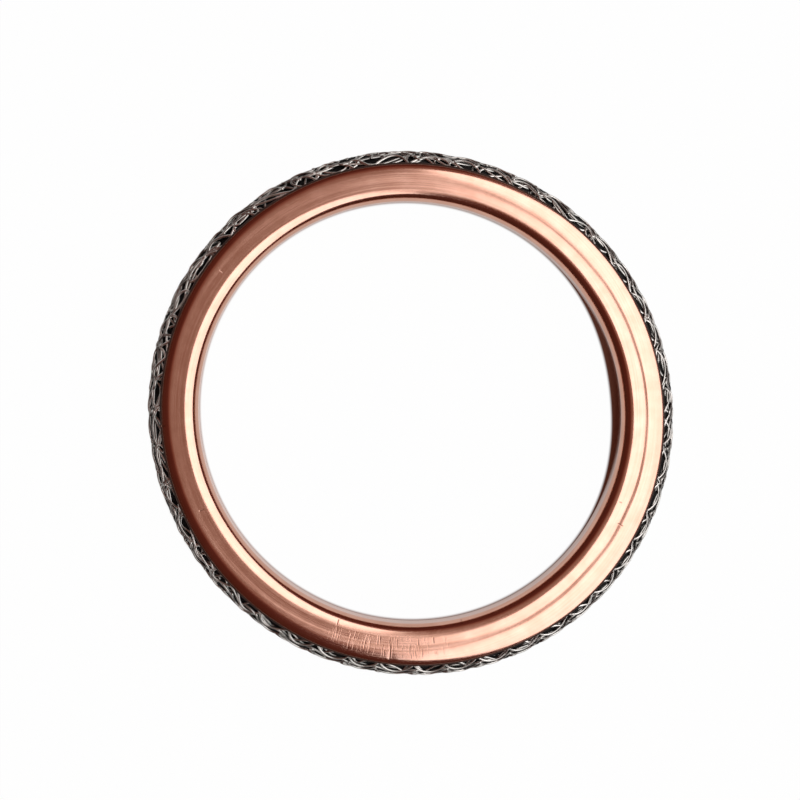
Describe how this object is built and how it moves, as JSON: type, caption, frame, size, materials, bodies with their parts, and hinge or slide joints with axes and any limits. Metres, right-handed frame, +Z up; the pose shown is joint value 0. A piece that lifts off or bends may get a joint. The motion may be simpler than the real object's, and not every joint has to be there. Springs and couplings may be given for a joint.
{
  "type": "exhaust pipe gasket",
  "caption": "Crush ring gasket for an exhaust pipe joint: copper jacket open at the outside, round a graphite core behind knitted steel wire.",
  "frame": {"origin": "centre of the lower face, where the ring rests", "axes": "+Z up along the bore axis"},
  "size_m": [0.05, 0.05, 0.005],
  "materials": {
    "copper": "satin drawn copper",
    "graphite": "dull pressed graphite",
    "steel_wire": "drawn stainless wire"
  },
  "bodies": {
    "root": {"copper_jacket": "copper", "graphite_core": "graphite", "wire_net": "steel_wire"}
  },
  "joints": []
}
